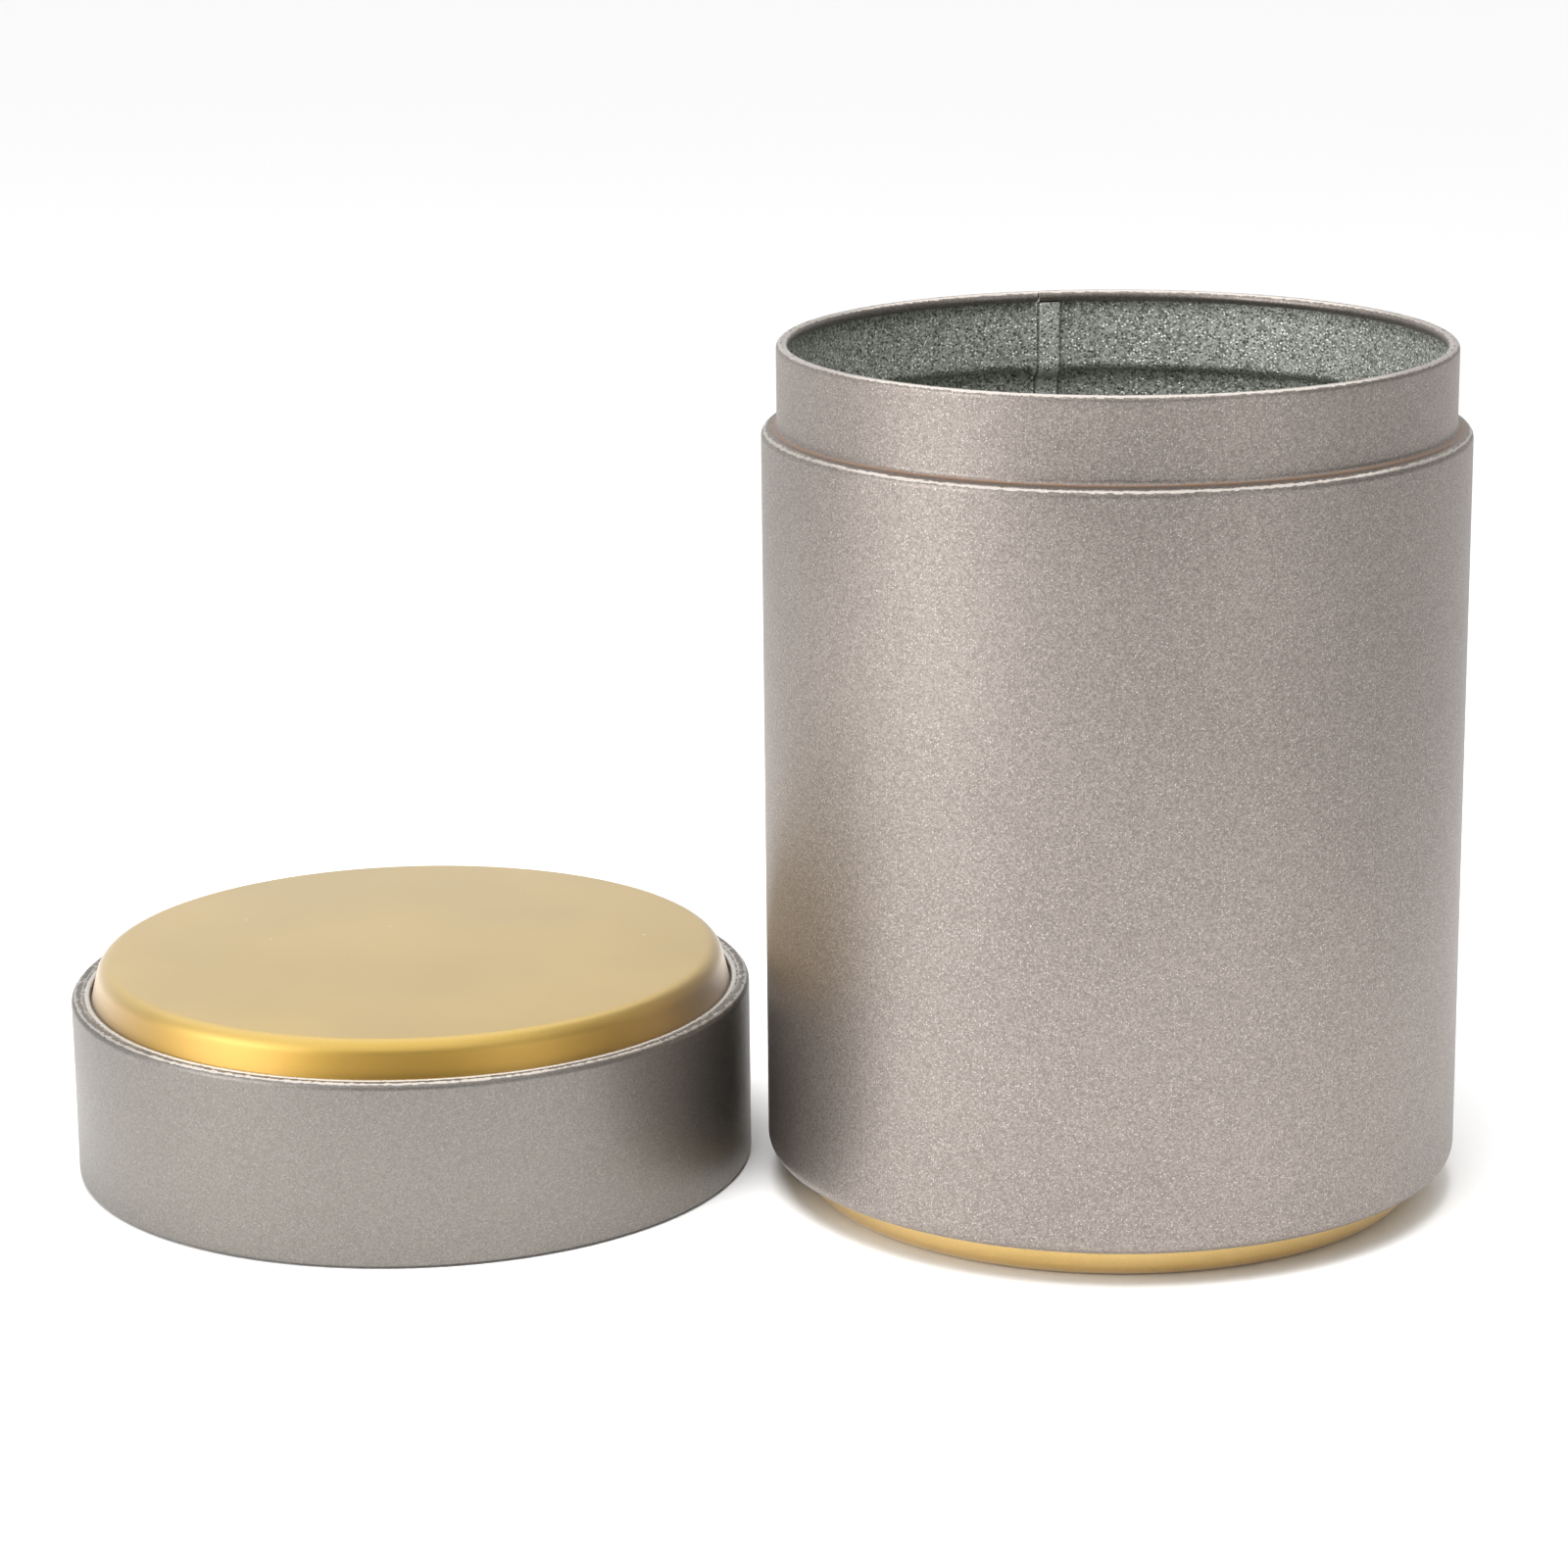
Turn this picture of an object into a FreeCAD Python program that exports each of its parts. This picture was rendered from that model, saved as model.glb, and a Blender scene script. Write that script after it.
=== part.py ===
"""Round cookie tin: body and lid, folded and pressed from tinplate, with the lid standing beside the tin.

The origin is the centre of the face that the tin stands on. +Z is up, and the lid stands towards -X.
Every piece is bent sheet, so each is drawn as the path that the middle of its sheet follows in section.
"""

import FreeCAD, Part
import math
import os

from FreeCAD import Vector

# Driving dimensions, in millimetres and degrees.
SHEET = 0.28                 # thickness of the tinplate
SLIP = 0.03                  # clearance between two layers of a folded seam

BODY_RADIUS = 43.0           # outside of the body and of the lid's skirt
NECK_RADIUS = 41.1           # outside of the neck that the lid slides over
RIM_HEIGHT = 106.0           # top of the curled rim above the standing face
RIM_CURL_RADIUS = 0.72       # outside radius of the inward curl at the rim
RIM_CURL_SWEEP = 290.0
SHOULDER_HEIGHT = 95.7       # level part of the step between body and neck
SHOULDER_BEND = 1.1          # outside radius of the step's rounded edge

BODY_CORNER = 1.8            # outside radius of the body's lower corner
BODY_LIP_HEIGHT = 4.2        # lowest ring of the body above the standing face
FOOT_RADIUS = 39.3           # outside of the foot, level with the body's lowest ring

SKIRT_HEIGHT = 23.3          # top ring of the lid's skirt above its lower edge
SKIRT_CORNER = 0.9           # outside radius of the skirt's upper corner
HEM_CLEARANCE = 0.15         # radial play of the lid's hem on the neck
HEM_LAND = 2.2               # straight inner face of that hem
CROWN_RADIUS = 40.3          # outside of the crown, level with the skirt's top ring
CROWN_RISE = 4.1             # flat top above the skirt's top ring

PANEL_LEAN = 14.0            # slope of the wall of the foot and of the crown
PANEL_EDGE = 2.2             # outside radius of their rounded edge
PANEL_FILLET = 0.4           # outside radius where that wall leaves its flange

LIP_DIP = 35.0               # slope into the shallow groove of each turned-in lip
LIP_EDGE = 0.9               # outside radius of the lip's highest ring, beside that groove
LIP_GROOVE = 0.2             # outside radius at the bottom of the groove
LIP_BEAD = 0.52              # outside radius of the bead that ends the lip

SIDE_SEAM_ANGLE = 102.5      # direction of the side seam, seen from above
SIDE_SEAM_WIDTH = 3.2
SIDE_SEAM_JOGGLE = 1.0       # middle radius of the bends that step the sheet inward
SIDE_SEAM_FOOT = 6.6         # lower end of the seam's folded layers
RIM_SLIT = 0.25              # gap between the two ends of the curled rim

LID_PLACE = Vector(-88.8, 3.0, 0.0)

# Values that follow from them.
HALF = SHEET / 2
LAYER = SHEET + SLIP                         # from the middle of one folded layer to the next
FOLD_REACH = LAYER + HALF                    # outside radius of a fold that holds one layer
NECK_FILLET = BODY_RADIUS - NECK_RADIUS - SHOULDER_BEND
SHOULDER_START = SHOULDER_HEIGHT - SHOULDER_BEND
NECK_START = SHOULDER_HEIGHT + NECK_FILLET
CURL_HEIGHT = RIM_HEIGHT - RIM_CURL_RADIUS
SIDE_SEAM_DEPTH = 3 * LAYER + SHEET          # four layers of sheet


def polar(radius, degrees):
    angle = math.radians(degrees)
    return Vector(radius * math.cos(angle), radius * math.sin(angle), 0)


def rotated(direction, degrees):
    turn = polar(1, degrees)
    return Vector(
        direction.x * turn.x - direction.y * turn.y,
        direction.x * turn.y + direction.y * turn.x,
        0,
    )


def sheet_section(start, heading, moves):
    """Closed flat face of bent sheet, from the path of its middle line.

    A move (length,) is straight. A move (radius, turn) is a bend of the middle line, left if turn > 0.
    """
    point = start
    along = polar(1, heading)
    near_end = (start + rotated(along, -90) * HALF, start + rotated(along, 90) * HALF)
    left_edges = []
    right_edges = []
    for move in moves:
        left = rotated(along, 90)
        if len(move) == 1:
            after = point + along * move[0]
            left_edges.append(Part.makeLine(point + left * HALF, after + left * HALF))
            right_edges.append(Part.makeLine(point - left * HALF, after - left * HALF))
        else:
            radius, turn = move
            sign = math.copysign(1, turn)
            centre = point + left * (sign * radius)
            spokes = [rotated(left * -sign, turn * share) for share in (0, 0.5, 1)]
            left_arc = [centre + spoke * (radius - sign * HALF) for spoke in spokes]
            right_arc = [centre + spoke * (radius + sign * HALF) for spoke in spokes]
            left_edges.append(Part.Arc(*left_arc).toShape())
            right_edges.append(Part.Arc(*right_arc).toShape())
            after = centre + spokes[2] * radius
            along = rotated(along, turn)
        point = after
    far_end = (point + rotated(along, 90) * HALF, point + rotated(along, -90) * HALF)
    ends = [Part.makeLine(*near_end), Part.makeLine(*far_end)]
    return Part.Face(Part.Wire(Part.__sortEdges__(left_edges + right_edges + ends)))


def spun(section, first=0.0, sweep=360.0):
    """Solid of revolution about Z of a section drawn with x outward and y upward."""
    upright = section.copy()
    upright.rotate(Vector(0, 0, 0), Vector(1, 0, 0), 90)
    solid = upright.revolve(Vector(0, 0, 0), Vector(0, 0, 1), sweep)
    solid.rotate(Vector(0, 0, 0), Vector(0, 0, 1), first)
    return solid


def raised(section, bottom, top):
    solid = section.extrude(Vector(0, 0, top - bottom))
    solid.translate(Vector(0, 0, bottom))
    return solid


# A lip is where a wall turns in: a corner, a shallow groove, a bead, and a layer folded back under the bead.

LIP_RUN = (LIP_EDGE + 2 * LIP_GROOVE + LIP_BEAD) * math.sin(math.radians(LIP_DIP))
LIP_FALL = (LIP_EDGE - LIP_BEAD) * (1 - math.cos(math.radians(LIP_DIP)))
FOLDED_DEPTH = HALF + LIP_FALL + 2 * (LIP_BEAD - HALF)


def bead_radius(corner):
    return BODY_RADIUS - corner - LIP_RUN


def folded_end(corner):
    """Distance from the axis to the free edge of the folded layer, which leaves room for the panel's hook."""
    room = corner - SHEET - SLIP - FOLD_REACH
    drop = max(0.0, corner - FOLDED_DEPTH)
    return BODY_RADIUS - corner + math.sqrt(room * room - drop * drop)


def lip_moves(corner, side):
    return [
        (corner - HALF, side * 90),
        (LIP_EDGE - HALF, side * LIP_DIP),
        (LIP_GROOVE + HALF, -side * 2 * LIP_DIP),
        (LIP_BEAD - HALF, side * (LIP_DIP + 180)),
        (folded_end(corner) - bead_radius(corner),),
    ]


def panel_section(corner, ring_height, wall_radius, rise, side):
    """Pressed panel: a hook round the lip's folded layer, flange, leaning wall, rounded edge, flat middle."""
    lean = math.radians(PANEL_LEAN)
    bend = 90 - PANEL_LEAN
    shortening = math.tan(math.radians(bend / 2))
    fillet = PANEL_FILLET + HALF
    edge = PANEL_EDGE - HALF
    below = FOLDED_DEPTH + LAYER
    climb = below + rise - HALF
    flange_corner = wall_radius - HALF / math.cos(lean) + below * math.tan(lean)
    flat_corner = flange_corner - climb * math.tan(lean)
    hook_centre = folded_end(corner)
    hook_end = bead_radius(corner)
    moves = [
        (hook_centre - hook_end,),
        (LAYER, -side * 180),
        (hook_centre - flange_corner - fillet * shortening,),
        (fillet, -side * bend),
        (climb / math.cos(lean) - (fillet + edge) * shortening,),
        (edge, side * bend),
        (flat_corner - edge * shortening,),
    ]
    return sheet_section(Vector(hook_end, ring_height - side * (FOLDED_DEPTH - LAYER), 0), 0, moves)


def body_section():
    curl = RIM_CURL_RADIUS - HALF
    free_edge = Vector(NECK_RADIUS - RIM_CURL_RADIUS, CURL_HEIGHT, 0) + polar(curl, RIM_CURL_SWEEP)
    moves = [
        (curl, -RIM_CURL_SWEEP),
        (CURL_HEIGHT - NECK_START,),
        (NECK_FILLET + HALF, 90),
        (SHOULDER_BEND - HALF, -90),
        (SHOULDER_START - BODY_LIP_HEIGHT - BODY_CORNER,),
    ]
    return sheet_section(free_edge, RIM_CURL_SWEEP - 90, moves + lip_moves(BODY_CORNER, -1))


def skirt_section():
    hem = (BODY_RADIUS - NECK_RADIUS - HEM_CLEARANCE) / 2 - HALF
    free_edge = Vector(NECK_RADIUS + HEM_CLEARANCE + HALF, hem + HALF + HEM_LAND, 0)
    moves = [
        (HEM_LAND,),
        (hem, 180),
        (SKIRT_HEIGHT - SKIRT_CORNER - hem - HALF,),
    ]
    return sheet_section(free_edge, -90, moves + lip_moves(SKIRT_CORNER, 1))


# The side seam hooks the two upright edges of the body sheet together, in four layers inside the wall.


def arc_degrees(length, radius):
    return math.degrees(length / radius)


def side_seam_sections(wall_radius):
    """The two hooked edges, seen from above, and the directions where they join the plain wall."""
    levels = [wall_radius - HALF - LAYER * count for count in range(4)]
    reach = arc_degrees(SIDE_SEAM_WIDTH / 2 - FOLD_REACH, wall_radius)
    left_fold = SIDE_SEAM_ANGLE + reach
    right_fold = SIDE_SEAM_ANGLE - reach
    far, near = levels[0] - SIDE_SEAM_JOGGLE, levels[3] + SIDE_SEAM_JOGGLE
    gap = 2 * SIDE_SEAM_JOGGLE
    swing = math.degrees(math.acos((far * far + near * near - gap * gap) / (2 * far * near)))
    dive = 180 - math.degrees(math.acos((far * far + gap * gap - near * near) / (2 * far * gap)))
    left_join = left_fold + swing
    right_join = right_fold - reach
    left_edge = sheet_section(
        polar(levels[0], left_join),
        left_join - 90,
        [
            (SIDE_SEAM_JOGGLE, -dive),
            (SIDE_SEAM_JOGGLE, dive - swing),
            (levels[3], right_fold - left_fold),
            (LAYER, 180),
            (levels[1], left_fold - right_fold),
        ],
    )
    right_edge = sheet_section(
        polar(levels[0], right_join),
        right_join + 90,
        [
            (levels[0], left_fold - right_join),
            (LAYER, 180),
            (levels[2], right_fold - left_fold),
        ],
    )
    return left_edge, right_edge, left_join, right_join


def shoulder_seam_section():
    """The four seam layers pressed solid where they follow the step from the body to the neck."""
    step = BODY_RADIUS - SHOULDER_BEND
    bend = SHOULDER_BEND - HALF
    fillet = NECK_FILLET + HALF
    body_side = Vector(BODY_RADIUS - HALF, SHOULDER_START, 0)
    level = Vector(step, SHOULDER_HEIGHT - HALF, 0)
    neck_side = Vector(NECK_RADIUS - HALF, NECK_START, 0)
    neck_inside = Vector(NECK_RADIUS - SIDE_SEAM_DEPTH, NECK_START, 0)
    body_inside = Vector(BODY_RADIUS - SIDE_SEAM_DEPTH, SHOULDER_START, 0)
    on_bend = Vector(step, SHOULDER_START, 0) + polar(bend, 45)
    on_fillet = Vector(step, NECK_START, 0) + polar(fillet, 225)
    edges = [
        Part.Arc(body_side, on_bend, level).toShape(),
        Part.Arc(level, on_fillet, neck_side).toShape(),
        Part.makeLine(neck_side, neck_inside),
        Part.makeLine(neck_inside, body_inside),
        Part.makeLine(body_inside, body_side),
    ]
    return Part.Face(Part.Wire(edges))


def body_shell():
    shell = spun(body_section())
    joins = []
    additions = []
    for radius, bottom, top in (
        (BODY_RADIUS, SIDE_SEAM_FOOT, SHOULDER_START),
        (NECK_RADIUS, NECK_START, CURL_HEIGHT),
    ):
        left_edge, right_edge, left_join, right_join = side_seam_sections(radius)
        opening = Part.makeCylinder(
            radius + SHEET, top - bottom, Vector(0, 0, bottom), Vector(0, 0, 1), left_join - right_join
        )
        opening.rotate(Vector(0, 0, 0), Vector(0, 0, 1), right_join)
        curl_side = Part.makeCylinder(radius - 2 * SHEET, top - bottom, Vector(0, 0, bottom))
        shell = shell.cut(opening.cut(curl_side))
        additions += [raised(left_edge, bottom, top), raised(right_edge, bottom, top)]
        joins.append((left_join, right_join))
    half_width = arc_degrees(SIDE_SEAM_WIDTH / 2, BODY_RADIUS)
    additions.append(spun(shoulder_seam_section(), SIDE_SEAM_ANGLE - half_width, 2 * half_width))
    shell = shell.fuse(additions).removeSplitter()
    slit = Part.makeBox(2 * RIM_CURL_RADIUS, RIM_SLIT, 2 * RIM_CURL_RADIUS)
    slit.translate(Vector(NECK_RADIUS - SHEET - 2 * RIM_CURL_RADIUS, -RIM_SLIT / 2, CURL_HEIGHT))
    slit.rotate(Vector(0, 0, 0), Vector(0, 0, 1), SIDE_SEAM_ANGLE + half_width)
    return shell.cut(slit)


def save(shape, name):
    solid = shape.Solids[0]
    solid.exportStep("parts/%s.step" % name)
    report = (name, len(shape.Solids), solid.isValid(), solid.Volume)
    print("%-12s solids %d, valid %s, %.1f mm3" % report)


def main():
    os.makedirs("parts", exist_ok=True)
    lid_skirt = spun(skirt_section())
    lid_crown = spun(panel_section(SKIRT_CORNER, SKIRT_HEIGHT, CROWN_RADIUS, CROWN_RISE, 1))
    lid_skirt.translate(LID_PLACE)
    lid_crown.translate(LID_PLACE)
    save(body_shell(), "body_shell")
    save(spun(panel_section(BODY_CORNER, BODY_LIP_HEIGHT, FOOT_RADIUS, BODY_LIP_HEIGHT, -1)), "base_pan")
    save(lid_skirt, "lid_skirt")
    save(lid_crown, "lid_crown")


main()
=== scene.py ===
import math

import bmesh
import bpy
from mathutils import Matrix, Vector


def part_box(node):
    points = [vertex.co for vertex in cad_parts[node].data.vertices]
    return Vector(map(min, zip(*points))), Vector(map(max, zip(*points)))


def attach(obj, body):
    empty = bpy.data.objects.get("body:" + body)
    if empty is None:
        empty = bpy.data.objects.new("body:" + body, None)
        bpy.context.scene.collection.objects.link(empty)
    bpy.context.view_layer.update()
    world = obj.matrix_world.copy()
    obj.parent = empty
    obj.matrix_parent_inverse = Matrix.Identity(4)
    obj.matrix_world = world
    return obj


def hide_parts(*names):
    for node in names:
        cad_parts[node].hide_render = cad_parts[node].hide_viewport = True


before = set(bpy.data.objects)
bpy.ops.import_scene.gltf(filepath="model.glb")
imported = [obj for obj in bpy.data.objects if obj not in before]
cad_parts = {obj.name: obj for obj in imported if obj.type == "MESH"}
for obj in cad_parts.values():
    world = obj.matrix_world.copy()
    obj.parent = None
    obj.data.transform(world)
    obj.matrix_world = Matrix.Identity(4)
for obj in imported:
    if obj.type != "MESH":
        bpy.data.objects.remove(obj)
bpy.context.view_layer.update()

MM = 0.001
BODY_LOW, BODY_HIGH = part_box("body_shell")
SKIRT_LOW, SKIRT_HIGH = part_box("lid_skirt")
CROWN_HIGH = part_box("lid_crown")[1]
TIN_WIDTH = BODY_HIGH.x - BODY_LOW.x
TIN_AXIS = Vector((0, 0, 0))
LID_AXIS = Vector(((SKIRT_LOW.x + SKIRT_HIGH.x) / 2, (SKIRT_LOW.y + SKIRT_HIGH.y) / 2, 0))

# Heights that the frame gives, in millimetres.
RIM_HEIGHT = BODY_HIGH.z / MM
BODY_LIP_HEIGHT = BODY_LOW.z / MM
SKIRT_HEIGHT = SKIRT_HIGH.z / MM
CROWN_RISE = (CROWN_HIGH.z - SKIRT_HIGH.z) / MM

# Sheet, folds and bends, in millimetres and degrees, with the same names as in the CAD source.
SHEET = 0.28
SLIP = 0.03
BODY_RADIUS = 43.0
NECK_RADIUS = 41.1
RIM_CURL_RADIUS = 0.72
RIM_CURL_SWEEP = 290.0
SHOULDER_HEIGHT = 95.7
SHOULDER_BEND = 1.1
BODY_CORNER = 1.8
FOOT_RADIUS = 39.3
SKIRT_CORNER = 0.9
HEM_CLEARANCE = 0.15
HEM_LAND = 2.2
CROWN_RADIUS = 40.3
PANEL_LEAN = 14.0
PANEL_EDGE = 2.2
PANEL_FILLET = 0.4
LIP_DIP = 35.0
LIP_EDGE = 0.9
LIP_GROOVE = 0.2
LIP_BEAD = 0.52
SIDE_SEAM_ANGLE = 102.5
SIDE_SEAM_WIDTH = 3.2
SIDE_SEAM_JOGGLE = 1.0
SIDE_SEAM_FOOT = 6.6
RIM_SLIT = 0.25

HALF = SHEET / 2
LAYER = SHEET + SLIP
FOLD_REACH = LAYER + HALF
NECK_FILLET = BODY_RADIUS - NECK_RADIUS - SHOULDER_BEND
SHOULDER_START = SHOULDER_HEIGHT - SHOULDER_BEND
NECK_START = SHOULDER_HEIGHT + NECK_FILLET
CURL_HEIGHT = RIM_HEIGHT - RIM_CURL_RADIUS
SIDE_SEAM_TOP = RIM_HEIGHT - 2 * RIM_CURL_RADIUS - SLIP
LIP_RUN = (LIP_EDGE + 2 * LIP_GROOVE + LIP_BEAD) * math.sin(math.radians(LIP_DIP))
LIP_FALL = (LIP_EDGE - LIP_BEAD) * (1 - math.cos(math.radians(LIP_DIP)))
FOLDED_DEPTH = HALF + LIP_FALL + 2 * (LIP_BEAD - HALF)

# Meshes: steps to a turn, degrees to a step of a bend, the distance in metres at which points are one,
# and the angle in degrees from which an edge is sharp.
ROUND_STEPS = 288
BEND_STEP = 9.0
SAME_POINT = 1e-8
SHARP_ANGLE = 50

# Camera, in widths of the tin, degrees and millimetres of lens.
CAMERA_DISTANCE = 6.2
CAMERA_HEIGHT = 2.214
CAMERA_AIM = -4.37
CAMERA_TILT = 14.71
CAMERA_ROLL = -0.573
CAMERA_LENS = 101.9

# Colours, as linear red, green and blue.
PEWTER_DARK = (0.190, 0.166, 0.150, 1)
PEWTER_LIGHT = (0.335, 0.295, 0.268, 1)
# The lid's lacquer: a darker copy of the body's, as painted shade.
LID_SHADED_DARK = (0.178, 0.164, 0.148, 1)
LID_SHADED_LIGHT = (0.246, 0.228, 0.207, 1)
PEWTER_FLAKE = (0.50, 0.46, 0.43, 1)
# The lid's flakes: weaker, and darker with the painted shade.
LID_SHADED_FLAKE = (0.29, 0.272, 0.25, 1)
# Bands of wear along edges, lightened as painted highlight.
WORN_HIGHLIGHT_LACQUER = (0.62, 0.57, 0.52, 1)
# Painted brown shade along the crease at the shoulder.
CREASE_SHADE_BROWN = (0.30, 0.205, 0.15, 1)
LINING_DARK = (0.16, 0.17, 0.145, 1)
LINING_LIGHT = (0.50, 0.515, 0.47, 1)
LINING_FLAKE = (0.96, 0.98, 0.93, 1)
# Dark pits in the grain, and the painted shade along the seam strip's edges.
LINING_PIT_AND_SHADE = (0.035, 0.037, 0.03, 1)
# The seam's strip: pale from rubbing and as painted highlight.
SEAM_RUBBED_AND_LIT = (0.78, 0.79, 0.75, 1)
CROWN_DARK = (0.51, 0.335, 0.05, 1)
CROWN_LIGHT = (0.585, 0.395, 0.078, 1)
# Painted shade: darker, deeper gold on the crown's wall below its rounded edge.
CROWN_WALL_SHADE = (0.47, 0.27, 0.025, 1)
# The foot's gold: a paler copy of the crown's lacquer, as painted light from the bright floor.
FOOT_LIT_DARK = (0.70, 0.48, 0.15, 1)
FOOT_LIT_LIGHT = (0.78, 0.56, 0.22, 1)
# Bare tin, for cut edges and specks, and the colour of the painted highlight on the lid's bead.
BARE_TIN_AND_HIGHLIGHT = (0.72, 0.69, 0.64, 1)
TIN_SHADE = (0.5, 0.48, 0.45, 1)
FLOOR_COLOUR = (0.90, 0.90, 0.90, 1)

# Grain of the materials, in cells or waves to a metre.
LACQUER_FLAKES = 6000
LACQUER_SPECKS = 3600
LACQUER_GRAIN = 1400
LACQUER_CLOUDS = 26
LINING_FLAKES = 4200
LINING_SPECKS = 2500
LINING_PITS = 2300
LINING_CLOUDS = 900
GOLD_GRAIN = 4200
GOLD_DUST = 420
GOLD_CLOUDS = 40
EDGE_GRAIN = 3000
FLOOR_CLOUDS = 12

# Depth of the relief in the materials, in metres.
LACQUER_RELIEF = 0.00006
LINING_RELIEF = 0.00012
GOLD_RELIEF = 0.00006
EDGE_RELIEF = 0.00005

# Half the width of the dark lines along the seam's strip, in degrees round the tin.
SEAM_SHADE = 0.22

# The full part of a speck, as a share of its size.
SPECK_CORE = 0.45

# Studio: strengths of the world's light, the point that the soft lights face, and the floor, in metres.
WORLD_EVEN = 0.12
WORLD_BEHIND = 0.46
WORLD_LEFT = 0.28
LIGHT_AIM = (0, 0, 0.06)
FLOOR_RADIUS = 6.0


# Sheet paths. A sample is a point on the middle line of the sheet and the direction to its left.


def direction(degrees):
    return Vector((math.cos(math.radians(degrees)), math.sin(math.radians(degrees))))


def sheet_path(start, heading, moves):
    """Samples along straight moves (length,) and bends (radius, turn), which go left if turn > 0."""
    point = Vector(start)
    samples = [(point.copy(), direction(heading + 90))]
    for move in moves:
        if len(move) == 1:
            point = point + direction(heading) * move[0]
            samples.append((point.copy(), direction(heading + 90)))
            continue
        radius, turn = move
        side = math.copysign(1, turn)
        centre = point + direction(heading + 90) * (side * radius)
        steps = max(2, math.ceil(abs(turn) / BEND_STEP))
        for step in range(1, steps + 1):
            now = heading + turn * step / steps
            samples.append((centre - direction(now + 90) * (side * radius), direction(now + 90)))
        heading += turn
        point = samples[-1][0].copy()
    return samples


def bead_radius(corner):
    """Distance from the axis to the bead of a lip that turns in from a corner of this radius."""
    return BODY_RADIUS - corner - LIP_RUN


def folded_end(corner):
    """Distance from the axis to the free edge of the folded layer, which leaves room for the panel's hook."""
    room = corner - SHEET - SLIP - FOLD_REACH
    drop = max(0.0, corner - FOLDED_DEPTH)
    return BODY_RADIUS - corner + math.sqrt(room * room - drop * drop)


def lip_moves(corner, side):
    """A lip turned in from a wall: corner, shallow groove, bead, and a layer folded back under the bead."""
    return [
        (corner - HALF, side * 90),
        (LIP_EDGE - HALF, side * LIP_DIP),
        (LIP_GROOVE + HALF, -side * 2 * LIP_DIP),
        (LIP_BEAD - HALF, side * (LIP_DIP + 180)),
        (folded_end(corner) - bead_radius(corner),),
    ]


def panel_path(corner, ring_height, wall_radius, rise, side):
    """Pressed panel: a hook round the lip's folded layer, flange, leaning wall, rounded edge, flat middle."""
    lean = math.radians(PANEL_LEAN)
    bend = 90 - PANEL_LEAN
    shortening = math.tan(math.radians(bend / 2))
    fillet = PANEL_FILLET + HALF
    edge = PANEL_EDGE - HALF
    below = FOLDED_DEPTH + LAYER
    climb = below + rise - HALF
    flange_corner = wall_radius - HALF / math.cos(lean) + below * math.tan(lean)
    flat_corner = flange_corner - climb * math.tan(lean)
    hook_centre = folded_end(corner)
    hook_end = bead_radius(corner)
    moves = [
        (hook_centre - hook_end,),
        (LAYER, -side * 180),
        (hook_centre - flange_corner - fillet * shortening,),
        (fillet, -side * bend),
        (climb / math.cos(lean) - (fillet + edge) * shortening,),
        (edge, side * bend),
        (flat_corner - edge * shortening,),
    ]
    return sheet_path((hook_end, ring_height - side * (FOLDED_DEPTH - LAYER)), 0, moves)


def skirt_path():
    """From the free edge of the lid's hem, round the hem and up the outside, to the lip under the crown."""
    hem = (BODY_RADIUS - NECK_RADIUS - HEM_CLEARANCE) / 2 - HALF
    moves = [(HEM_LAND,), (hem, 180), (SKIRT_HEIGHT - SKIRT_CORNER - hem - HALF,)]
    start = (NECK_RADIUS + HEM_CLEARANCE + HALF, hem + HALF + HEM_LAND)
    return sheet_path(start, -90, moves + lip_moves(SKIRT_CORNER, 1))


def rim_path():
    """From the curl's free edge down to the top of the side seam's folded layers."""
    curl = RIM_CURL_RADIUS - HALF
    free_edge = Vector((NECK_RADIUS - RIM_CURL_RADIUS, CURL_HEIGHT)) + direction(RIM_CURL_SWEEP) * curl
    moves = [(curl, -RIM_CURL_SWEEP), (CURL_HEIGHT - SIDE_SEAM_TOP,)]
    return sheet_path(free_edge, RIM_CURL_SWEEP - 90, moves)


def wall_path():
    """From under the curl down to the foot of the side seam."""
    moves = [
        (SIDE_SEAM_TOP - NECK_START,),
        (NECK_FILLET + HALF, 90),
        (SHOULDER_BEND - HALF, -90),
        (SHOULDER_START - SIDE_SEAM_FOOT,),
    ]
    return sheet_path((NECK_RADIUS - HALF, SIDE_SEAM_TOP), -90, moves)


def lower_path():
    """From the foot of the side seam down to the lip that holds the base pan."""
    moves = [(SIDE_SEAM_FOOT - BODY_LIP_HEIGHT - BODY_CORNER,)] + lip_moves(BODY_CORNER, -1)
    return sheet_path((BODY_RADIUS - HALF, SIDE_SEAM_FOOT), -90, moves)


# The side seam, unrolled: x goes clockwise round the tin from the seam's middle, and y outward.

SEAM_FLAT = SIDE_SEAM_WIDTH - 2 * FOLD_REACH
SEAM_DIVE = math.degrees(math.acos(1 - 3 * LAYER / (2 * SIDE_SEAM_JOGGLE)))
SEAM_RUN = 2 * SIDE_SEAM_JOGGLE * math.sin(math.radians(SEAM_DIVE))


def left_hook_path():
    """From the wall, stepped inward, and folded back over the folded layer of the right hook."""
    moves = [
        (SIDE_SEAM_JOGGLE, -SEAM_DIVE),
        (SIDE_SEAM_JOGGLE, SEAM_DIVE),
        (SEAM_FLAT,),
        (LAYER, 180),
        (SEAM_FLAT,),
    ]
    return sheet_path((-SEAM_FLAT / 2 - SEAM_RUN, 0), 0, moves)


def right_hook_path():
    """From the wall, folded back inward between the two layers of the left hook."""
    return sheet_path((-SEAM_FLAT / 2, 0), 180, [(LAYER, 180), (SEAM_FLAT,)])


# Meshes of sheet.


def round_place(radius, height, degrees):
    """The point in metres at a radius and height in millimetres and a direction about the axis."""
    flat = direction(degrees) * (radius * MM)
    return Vector((flat.x, flat.y, height * MM))


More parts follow.
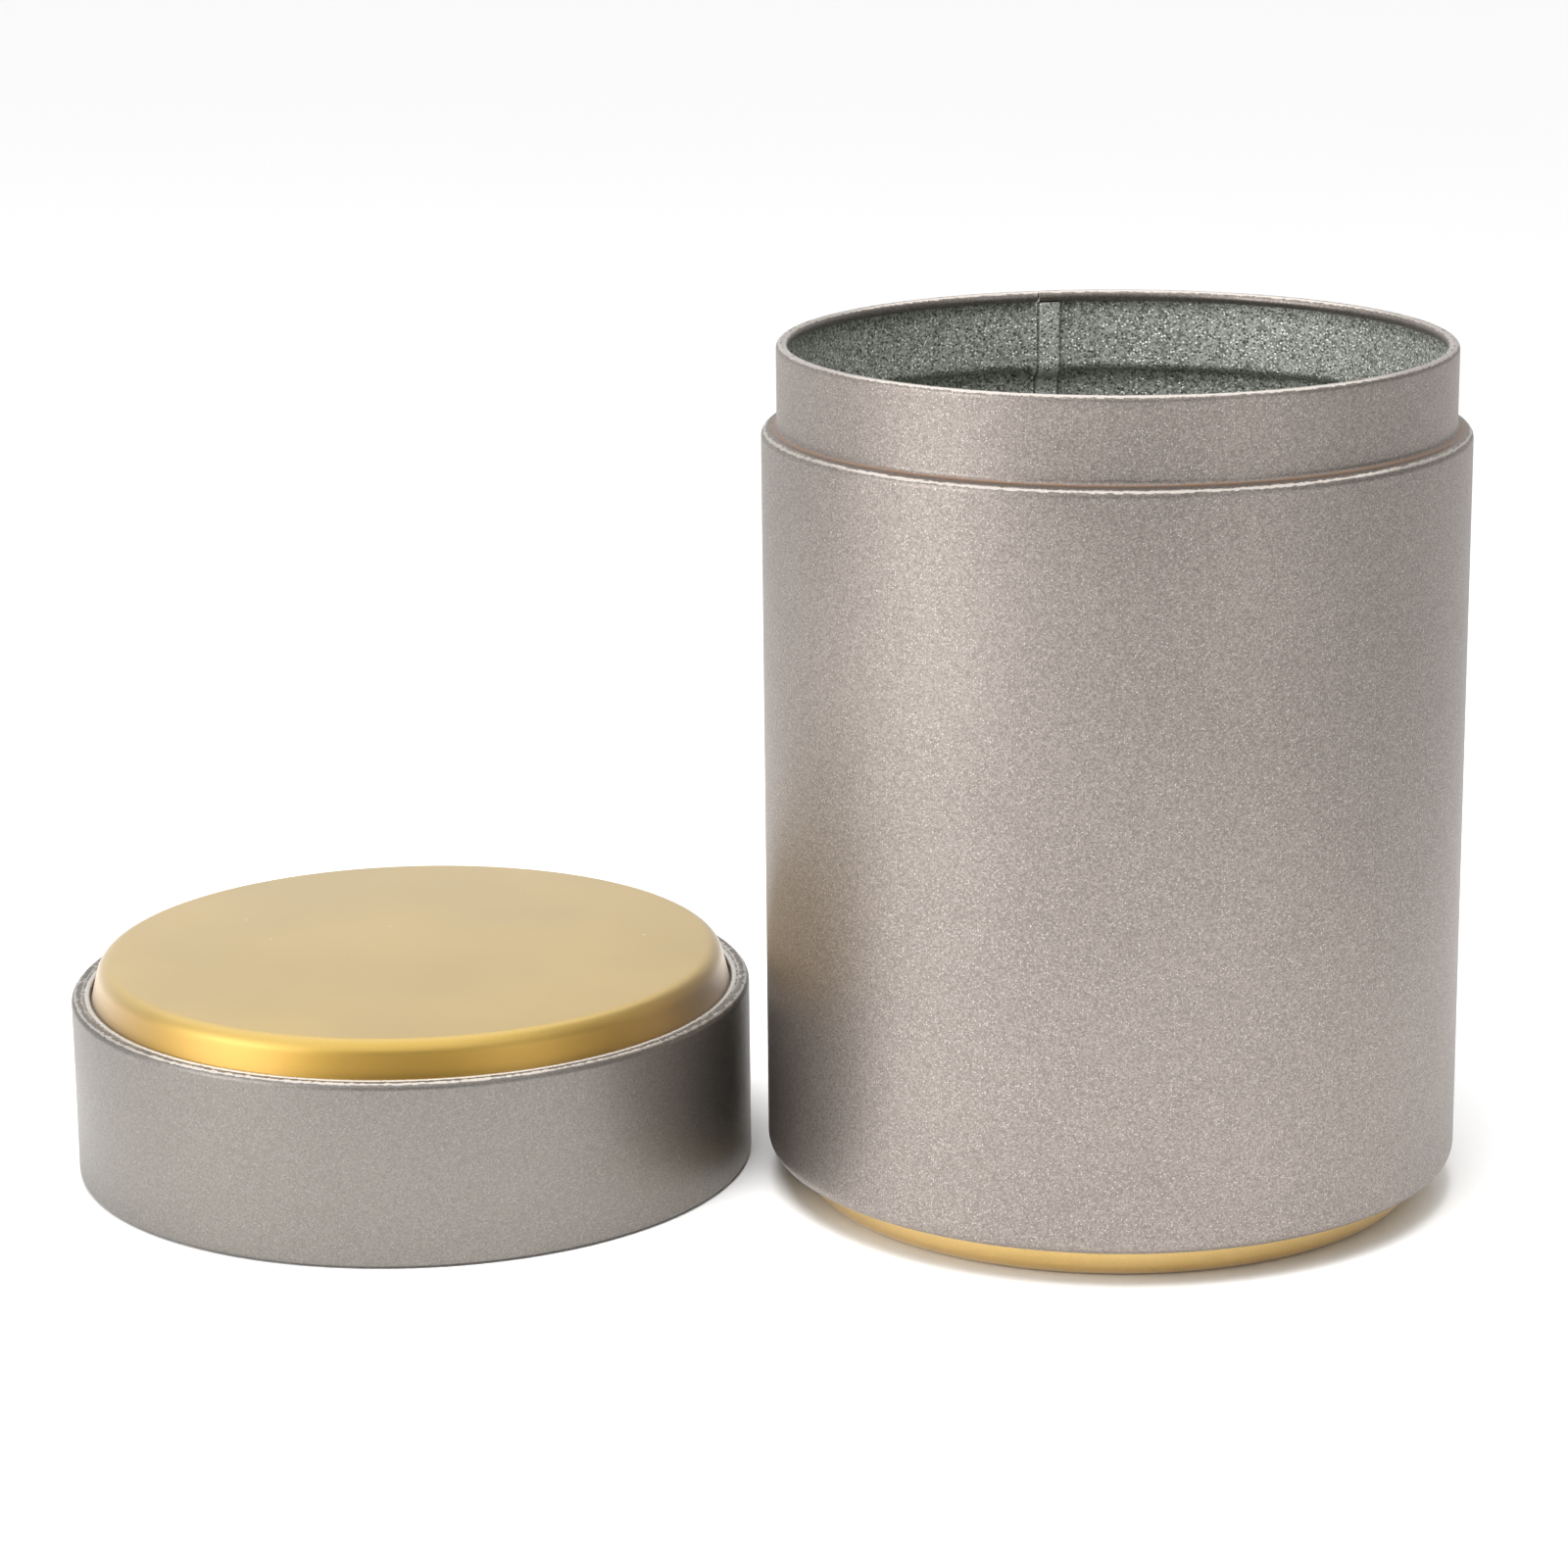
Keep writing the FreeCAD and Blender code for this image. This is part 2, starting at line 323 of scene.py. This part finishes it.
def spun_sides(path, first, last):
    """The two sides of a sheet path turned about the axis, as rows of points, one row to a direction."""
    left_rows, right_rows = [], []
    for step in range(ROUND_STEPS):
        degrees = first + (last - first) * step / (ROUND_STEPS - 1)
        left_rows.append([round_place(*(point + left * HALF), degrees) for point, left in path])
        right_rows.append([round_place(*(point - left * HALF), degrees) for point, left in path])
    return left_rows, right_rows


def hooked_sides(hook, wall):
    """The two sides of a seam hook that follows the wall's path, as rows of points down the wall."""
    left_rows, right_rows = [], []
    for place, left in hook:
        for rows, side in ((left_rows, HALF), (right_rows, -HALF)):
            edge = place + left * side
            degrees = SIDE_SEAM_ANGLE - math.degrees(edge.x / BODY_RADIUS)
            rows.append([round_place(*(point + outward * edge.y), degrees) for point, outward in wall])
    return left_rows, right_rows


def seamed_sides(wall):
    """The outer and inner side of the wall's sheet, from the free edge of one seam hook to the other's."""
    fold = SIDE_SEAM_ANGLE + math.degrees(SEAM_FLAT / 2 / BODY_RADIUS)
    joggle = math.degrees(SEAM_RUN / BODY_RADIUS)
    round_outer, round_inner = spun_sides(wall, fold + joggle, fold + 360)
    first_outer, first_inner = hooked_sides(left_hook_path(), wall)
    last_inner, last_outer = hooked_sides(right_hook_path(), wall)
    outer = first_outer[:0:-1] + round_outer + last_outer[1:]
    inner = first_inner[:0:-1] + round_inner + last_inner[1:]
    return outer, inner


def add_sheet(mesh, sides, ring, outer_first=True):
    """Adds the closed skin of a sheet. Faces get material 0 outside, 1 inside and 2 on the cut edges."""
    rows = [[mesh.verts.new(point) for point in row] for row in sides[0]]
    backs = [[mesh.verts.new(point) for point in row] for row in sides[1]]
    outer, inner = (0, 1) if outer_first else (1, 0)
    pairs = list(zip(range(len(rows) - 1), range(1, len(rows))))
    if ring:
        pairs.append((len(rows) - 1, 0))

    def face(corners, slot):
        made = mesh.faces.new(corners)
        made.material_index = slot
        made.smooth = True

    for now, after in pairs:
        for step in range(len(rows[now]) - 1):
            for side, slot in ((rows, outer), (backs, inner)):
                face((side[now][step], side[now][step + 1], side[after][step + 1], side[after][step]), slot)
        for end in (0, -1):
            face((rows[now][end], rows[after][end], backs[after][end], backs[now][end]), 2)
    if not ring:
        for row, back in ((rows[0], backs[0]), (rows[-1], backs[-1])):
            for step in range(len(row) - 1):
                face((row[step], row[step + 1], back[step + 1], back[step]), 2)


def add_ring(mesh, path, outer_first):
    sides = spun_sides(path, 0, 360 * (1 - 1 / ROUND_STEPS))
    add_sheet(mesh, sides, True, outer_first)


def make_piece(name, mesh, axis, body, node, materials):
    bmesh.ops.remove_doubles(mesh, verts=mesh.verts, dist=SAME_POINT)
    bmesh.ops.recalc_face_normals(mesh, faces=mesh.faces)
    data = bpy.data.meshes.new(name)
    mesh.to_mesh(data)
    mesh.free()
    data.transform(Matrix.Translation(axis))
    data.set_sharp_from_angle(angle=math.radians(SHARP_ANGLE))
    for material in materials:
        data.materials.append(material)
    piece = bpy.data.objects.new(name, data)
    bpy.context.scene.collection.objects.link(piece)
    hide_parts(node)
    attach(piece, body)


def make_body(materials):
    """Three closed meshes that touch: the slit rim, the wall with its hooked seam, and the foot."""
    mesh = bmesh.new()
    slit = SIDE_SEAM_ANGLE + math.degrees(SIDE_SEAM_WIDTH / 2 / BODY_RADIUS)
    gap = math.degrees(RIM_SLIT / 2 / NECK_RADIUS)
    add_sheet(mesh, spun_sides(rim_path(), slit + gap, slit - gap + 360), False)
    add_sheet(mesh, seamed_sides(wall_path()), False)
    add_ring(mesh, lower_path(), True)
    make_piece("tin_body", mesh, TIN_AXIS, "tin", "body_shell", materials)


def make_round_piece(name, path, outer_first, axis, body, node, materials):
    mesh = bmesh.new()
    add_ring(mesh, path, outer_first)
    make_piece(name, mesh, axis, body, node, materials)


# Materials.


class Graph:
    """Short names for making and linking shader nodes."""

    def __init__(self, owner):
        owner.use_nodes = True
        self.tree = owner.node_tree
        self.tree.nodes.clear()

    def add(self, kind, settings=None, inputs=None):
        node = self.tree.nodes.new(kind)
        for name, value in (settings or {}).items():
            setattr(node, name, value)
        for name, value in (inputs or {}).items():
            self.put(node.inputs[name], value)
        return node

    def put(self, socket, value):
        """Links a socket's value to another node, or sets it."""
        if isinstance(value, bpy.types.NodeSocket):
            self.tree.links.new(value, socket)
        else:
            socket.default_value = value

    def place(self):
        return self.add("ShaderNodeTexCoord").outputs["Object"]

    def math(self, operation, first, second=0.0):
        return self.add("ShaderNodeMath", {"operation": operation}, {0: first, 1: second}).outputs[0]

    def ramp(self, value, low, high, start=0.0, end=1.0):
        """Goes smoothly from start to end while the value goes from low to high."""
        inputs = {"Value": value, "From Min": low, "From Max": high, "To Min": start, "To Max": end}
        node = self.add("ShaderNodeMapRange", {"interpolation_type": "SMOOTHSTEP"}, inputs)
        return node.outputs["Result"]

    def mix(self, share, first, second):
        node = self.add("ShaderNodeMix", {"data_type": "RGBA"}, {0: share, 6: first, 7: second})
        return node.outputs[2]

    def noise(self, place, scale, detail=2.0, roughness=0.5):
        inputs = {"Vector": place, "Scale": scale, "Detail": detail, "Roughness": roughness}
        return self.add("ShaderNodeTexNoise", None, inputs).outputs[0]

    def cells(self, place, scale):
        """A random number for each cell, and the distance from its centre."""
        node = self.add("ShaderNodeTexVoronoi", None, {"Vector": place, "Scale": scale})
        split = self.add("ShaderNodeSeparateColor", None, {0: node.outputs["Color"]})
        return split.outputs[0], node.outputs["Distance"]

    def specks(self, place, scale, size, share):
        """1 in round specks, of a size in widths of a cell, in a share of the cells."""
        chance, distance = self.cells(place, scale)
        chosen = self.math("GREATER_THAN", chance, 1 - share)
        return self.math("MULTIPLY", chosen, self.ramp(distance, size, size * SPECK_CORE))

    def vector(self, operation, first, second=(0, 0, 0)):
        return self.add("ShaderNodeVectorMath", {"operation": operation}, {0: first, 1: second})

    def radius(self, place, axis):
        """Distance from an upright axis."""
        offset = self.vector("SUBTRACT", place, axis).outputs[0]
        flat = self.vector("MULTIPLY", offset, (1, 1, 0)).outputs[0]
        return self.vector("LENGTH", flat).outputs["Value"]

    def band(self, value, centre, width, noise):
        """1 where a value lies within a width of a centre, ragged by the noise."""
        offset = self.math("ABSOLUTE", self.math("SUBTRACT", value, centre))
        ragged = self.math("MULTIPLY", self.ramp(noise, 0.35, 0.65, 0.3, 1.0), width)
        return self.math("LESS_THAN", offset, ragged)

    def bump(self, height, distance, strength):
        inputs = {"Height": height, "Distance": distance, "Strength": strength}
        return self.add("ShaderNodeBump", None, inputs).outputs[0]

    def shade(self, **inputs):
        named = {name.replace("_", " "): value for name, value in inputs.items()}
        shader = self.add("ShaderNodeBsdfPrincipled", None, named)
        self.add("ShaderNodeOutputMaterial", None, {0: shader.outputs[0]})


def pewter_lacquer(name, colours, axis, worn_highlights, shaded_creases, bead=None):
    """Satin lacquer over metal flakes, with bands of wear at some heights that are also lightened as painted
    highlight, a painted highlight on a bead, and painted brown shade in the crease lines.
    """
    dark, light, fleck = colours
    material = bpy.data.materials.new(name)
    graph = Graph(material)
    place = graph.place()
    height = graph.add("ShaderNodeSeparateXYZ", None, {0: place}).outputs["Z"]
    flake = graph.cells(place, LACQUER_FLAKES)[0]
    cloud = graph.noise(place, LACQUER_CLOUDS, 3.0)
    ragged = graph.noise(place, LACQUER_GRAIN, 3.0)
    sparkle = graph.specks(place, LACQUER_SPECKS, 0.36, 0.28)
    tone = graph.math("ADD", graph.math("MULTIPLY", flake, 0.6), graph.math("MULTIPLY", cloud, 0.4))
    colour = graph.mix(graph.ramp(tone, 0.1, 0.9), dark, light)
    colour = graph.mix(sparkle, colour, fleck)
    # Painted brown shade along the crease lines.
    for centre, width in shaded_creases:
        colour = graph.mix(graph.band(height, centre * MM, width * MM, ragged), colour, CREASE_SHADE_BROWN)
    smooth = graph.math("SUBTRACT", sparkle, graph.math("MULTIPLY", cloud, 0.3))
    # Bands of wear, lightened as painted highlight and made smoother.
    for centre, width in worn_highlights:
        rubbed_highlight = graph.band(height, centre * MM, width * MM, ragged)
        colour = graph.mix(graph.math("MULTIPLY", rubbed_highlight, 0.8), colour, WORN_HIGHLIGHT_LACQUER)
        smooth = graph.math("ADD", smooth, rubbed_highlight)
    # Painted highlight along the bead, in the colour of bare tin.
    if bead:
        centre, width, floor = bead
        ring = graph.band(graph.radius(place, axis), centre * MM, width * MM, 1.0)
        above = graph.math("GREATER_THAN", height, floor * MM)
        colour = graph.mix(graph.math("MULTIPLY", ring, above), colour, BARE_TIN_AND_HIGHLIGHT)
    relief = graph.math("ADD", ragged, sparkle)
    graph.shade(
        Base_Color=colour,
        Metallic=0.9,
        Roughness=graph.ramp(smooth, -0.3, 1.0, 0.46, 0.26),
        Normal=graph.bump(relief, LACQUER_RELIEF, 0.25),
    )
    return material


def sparkling_lining(name, seamed=False):
    """Grey-green lining with a coarse, glittering grain, and the side seam's strip, pale from rubbing and as
    painted highlight, with painted shade along its edges.
    """
    material = bpy.data.materials.new(name)
    graph = Graph(material)
    place = graph.place()
    flake = graph.cells(place, LINING_FLAKES)[0]
    cloud = graph.noise(place, LINING_CLOUDS, 3.0)
    sparkle = graph.specks(place, LINING_SPECKS, 0.46, 0.36)
    pit = graph.specks(place, LINING_PITS, 0.50, 0.40)
    tone = graph.math("ADD", graph.math("MULTIPLY", flake, 0.6), graph.math("MULTIPLY", cloud, 0.4))
    strip = 0.0
    edges = 0.0
    if seamed:
        split = graph.add("ShaderNodeSeparateXYZ", None, {0: place})
        angle = graph.math("ARCTAN2", split.outputs["Y"], split.outputs["X"])
        reach = SIDE_SEAM_WIDTH / 2 / BODY_RADIUS
        middle = math.radians(SIDE_SEAM_ANGLE)
        # Pale strip over the seam: rubbing, and painted highlight.
        strip = graph.math("MULTIPLY", graph.band(angle, middle, reach, 1.0), 0.16)
        beside = graph.band(angle, middle, reach + math.radians(SEAM_SHADE), 1.0)
        within = graph.band(angle, middle, reach - math.radians(SEAM_SHADE), 1.0)
        edges = graph.math("MULTIPLY", graph.math("SUBTRACT", beside, within), 0.75)
    colour = graph.mix(graph.ramp(tone, 0.2, 0.8), LINING_DARK, LINING_LIGHT)
    colour = graph.mix(strip, colour, SEAM_RUBBED_AND_LIT)
    colour = graph.mix(graph.math("MULTIPLY", pit, 0.8), colour, LINING_PIT_AND_SHADE)
    colour = graph.mix(sparkle, colour, LINING_FLAKE)
    # Painted shade along both edges of the strip.
    colour = graph.mix(edges, colour, LINING_PIT_AND_SHADE)
    graph.shade(
        Base_Color=colour,
        Metallic=0.45,
        Roughness=graph.ramp(sparkle, 0.0, 1.0, 0.45, 0.26),
        Normal=graph.bump(graph.math("SUBTRACT", sparkle, pit), LINING_RELIEF, 0.6),
    )
    return material


def gold_lacquer(name, dark, light, wall=None):
    """Clear satin lacquer over gold, with painted shade: a darker, deeper colour on the drawn wall below a
    height.
    """
    material = bpy.data.materials.new(name)
    graph = Graph(material)
    place = graph.place()
    cloud = graph.noise(place, GOLD_CLOUDS, 3.0)
    grain = graph.noise(place, GOLD_GRAIN, 1.0)
    dust = graph.specks(place, GOLD_DUST, 0.10, 0.05)
    tone = graph.math("ADD", graph.math("MULTIPLY", cloud, 0.6), graph.math("MULTIPLY", grain, 0.4))
    colour = graph.mix(graph.ramp(tone, 0.3, 0.7), dark, light)
    if wall:
        wall_shade_colour, top = wall
        height = graph.add("ShaderNodeSeparateXYZ", None, {0: place}).outputs["Z"]
        # Painted shade: the wall below the rounded edge turns a darker, deeper gold.
        colour = graph.mix(graph.ramp(height, top * MM, (top - PANEL_EDGE) * MM), colour, wall_shade_colour)
    graph.shade(
        Base_Color=graph.mix(dust, colour, BARE_TIN_AND_HIGHLIGHT),
        Metallic=0.95,
        Roughness=graph.ramp(tone, 0.3, 0.7, 0.42, 0.50),
        Normal=graph.bump(grain, GOLD_RELIEF, 0.06),
        Coat_Weight=1.0,
        Coat_Roughness=0.38,
        Sheen_Weight=0.25,
        Sheen_Roughness=0.5,
    )
    return material


def bare_edge():
    """Cut edge of the sheet, where the tin coating shows."""
    material = bpy.data.materials.new("bare_edge")
    graph = Graph(material)
    grain = graph.noise(graph.place(), EDGE_GRAIN, 2.0)
    graph.shade(
        Base_Color=graph.mix(graph.ramp(grain, 0.3, 0.7), TIN_SHADE, BARE_TIN_AND_HIGHLIGHT),
        Metallic=1.0,
        Roughness=graph.ramp(grain, 0.3, 0.7, 0.25, 0.4),
        Normal=graph.bump(grain, EDGE_RELIEF, 0.3),
    )
    return material


# Stage.


def make_camera():
    data = bpy.data.cameras.new("camera")
    data.lens = CAMERA_LENS
    data.sensor_width = 36.0
    data.clip_start = 0.01
    aim, tilt, roll = (math.radians(angle) for angle in (CAMERA_AIM, CAMERA_TILT, CAMERA_ROLL))
    forward = Vector((math.sin(aim) * math.cos(tilt), math.cos(aim) * math.cos(tilt), -math.sin(tilt)))
    right = Vector((math.cos(aim), -math.sin(aim), 0))
    up = right.cross(forward)
    level = Matrix((right, up, -forward)).transposed().to_4x4()
    place = Matrix.Translation((0, -CAMERA_DISTANCE * TIN_WIDTH, CAMERA_HEIGHT * TIN_WIDTH))
    camera = bpy.data.objects.new("camera", data)
    camera.matrix_world = place @ level @ Matrix.Rotation(roll, 4, "Z")
    bpy.context.scene.collection.objects.link(camera)
    bpy.context.scene.camera = camera


def softbox(name, place, aim, width, height, power, reflected=True):
    """Rectangular soft light, in metres and watts, which may be left out of reflections."""
    data = bpy.data.lights.new(name, "AREA")
    data.shape = "RECTANGLE"
    data.size = width
    data.size_y = height
    data.energy = power
    light = bpy.data.objects.new(name, data)
    light.location = Vector(place)
    light.rotation_euler = (Vector(aim) - Vector(place)).to_track_quat("-Z", "Y").to_euler()
    light.visible_glossy = reflected
    bpy.context.scene.collection.objects.link(light)


def make_floor():
    bpy.ops.mesh.primitive_circle_add(vertices=96, radius=FLOOR_RADIUS, fill_type="NGON")
    floor = bpy.context.object
    floor.name = "floor"
    material = bpy.data.materials.new("floor")
    graph = Graph(material)
    cloud = graph.noise(graph.place(), FLOOR_CLOUDS, 2.0)
    graph.shade(
        Base_Color=FLOOR_COLOUR,
        Roughness=graph.ramp(cloud, 0.3, 0.7, 0.75, 0.85),
        Specular_IOR_Level=0.2,
    )
    floor.data.materials.append(material)


def make_world():
    """Pale studio: bright behind the object, dimmer towards the camera and to the right."""
    world = bpy.data.worlds.new("studio")
    bpy.context.scene.world = world
    graph = Graph(world)
    way = graph.add("ShaderNodeTexCoord").outputs["Generated"]
    split = graph.add("ShaderNodeSeparateXYZ", None, {0: way})
    behind = graph.ramp(split.outputs["Y"], -0.1, 0.8, 0.0, WORLD_BEHIND)
    left = graph.ramp(split.outputs["X"], -0.8, 0.6, WORLD_LEFT, 0.0)
    strength = graph.math("ADD", graph.math("ADD", behind, left), WORLD_EVEN)
    back = graph.add("ShaderNodeBackground", None, {"Color": (1, 1, 1, 1), "Strength": strength})
    graph.add("ShaderNodeOutputWorld", None, {0: back.outputs[0]})


def make_overhead(power, spread):
    """Even light from above, which keeps the floor pale right to its edge."""
    data = bpy.data.lights.new("overhead", "SUN")
    data.energy = power
    data.angle = math.radians(spread)
    light = bpy.data.objects.new("overhead", data)
    bpy.context.scene.collection.objects.link(light)


body_colours = (PEWTER_DARK, PEWTER_LIGHT, PEWTER_FLAKE)
# The lid gets a darker copy of the body's lacquer: painted shade.
lid_shaded_colours = (LID_SHADED_DARK, LID_SHADED_LIGHT, LID_SHADED_FLAKE)

# Heights and half widths, in millimetres, of the bands of wear, also lightened as painted highlight, and of
# the painted brown shade in the shoulder's crease.
body_wear_highlights = [(RIM_HEIGHT - 0.1, 0.2), (SHOULDER_HEIGHT - 0.3, 0.2), (BODY_LIP_HEIGHT + 0.3, 0.2)]
lid_wear_highlights = [(SKIRT_HEIGHT - 0.12, 0.12), (0, 0.12)]
shoulder_crease_shade = (SHOULDER_HEIGHT + 0.15, 0.18)

# Radius, half width and lowest point, in millimetres, of the painted highlight on the bead round the crown.
lid_bead_highlight = (bead_radius(SKIRT_CORNER), 0.25, SKIRT_HEIGHT - 2 * LIP_BEAD)

body_lacquer = pewter_lacquer("body_lacquer", body_colours, TIN_AXIS, body_wear_highlights, [shoulder_crease_shade])
lid_lacquer_shaded = pewter_lacquer("lid_lacquer_shaded", lid_shaded_colours, LID_AXIS, lid_wear_highlights, [], lid_bead_highlight)
lining = sparkling_lining("lining")
body_lining = sparkling_lining("body_lining", True)
crown_wall_shade = (CROWN_WALL_SHADE, SKIRT_HEIGHT + CROWN_RISE)
crown_gold = gold_lacquer("crown_gold", CROWN_DARK, CROWN_LIGHT, crown_wall_shade)
# Paler copy of the crown's gold: painted light from the bright floor.
foot_gold_lit = gold_lacquer("foot_gold_lit", FOOT_LIT_DARK, FOOT_LIT_LIGHT)
edge = bare_edge()

make_body([body_lacquer, body_lining, edge])
pan = panel_path(BODY_CORNER, BODY_LIP_HEIGHT, FOOT_RADIUS, BODY_LIP_HEIGHT, -1)
crown = panel_path(SKIRT_CORNER, SKIRT_HEIGHT, CROWN_RADIUS, CROWN_RISE, 1)
pan_looks = [foot_gold_lit, lining, edge]
skirt_looks = [lid_lacquer_shaded, lining, edge]
crown_looks = [crown_gold, lining, edge]
make_round_piece("tin_base", pan, True, TIN_AXIS, "tin", "base_pan", pan_looks)
make_round_piece("lid_wall", skirt_path(), False, LID_AXIS, "lid", "lid_skirt", skirt_looks)
make_round_piece("lid_top", crown, False, LID_AXIS, "lid", "lid_crown", crown_looks)

make_camera()
make_floor()
make_world()
make_overhead(power=2.15, spread=100)
softbox("key", (-0.77, -0.46, 0.34), LIGHT_AIM, width=0.6, height=0.55, power=4.7)
softbox("fill", (0.60, -0.64, 0.30), LIGHT_AIM, width=0.4, height=0.5, power=0.9)
softbox("pool", (-0.05, -0.12, 0.36), (-0.05, -0.12, 0), 0.25, 0.25, power=1.9, reflected=False)
bpy.context.scene.view_settings.view_transform = "Standard"
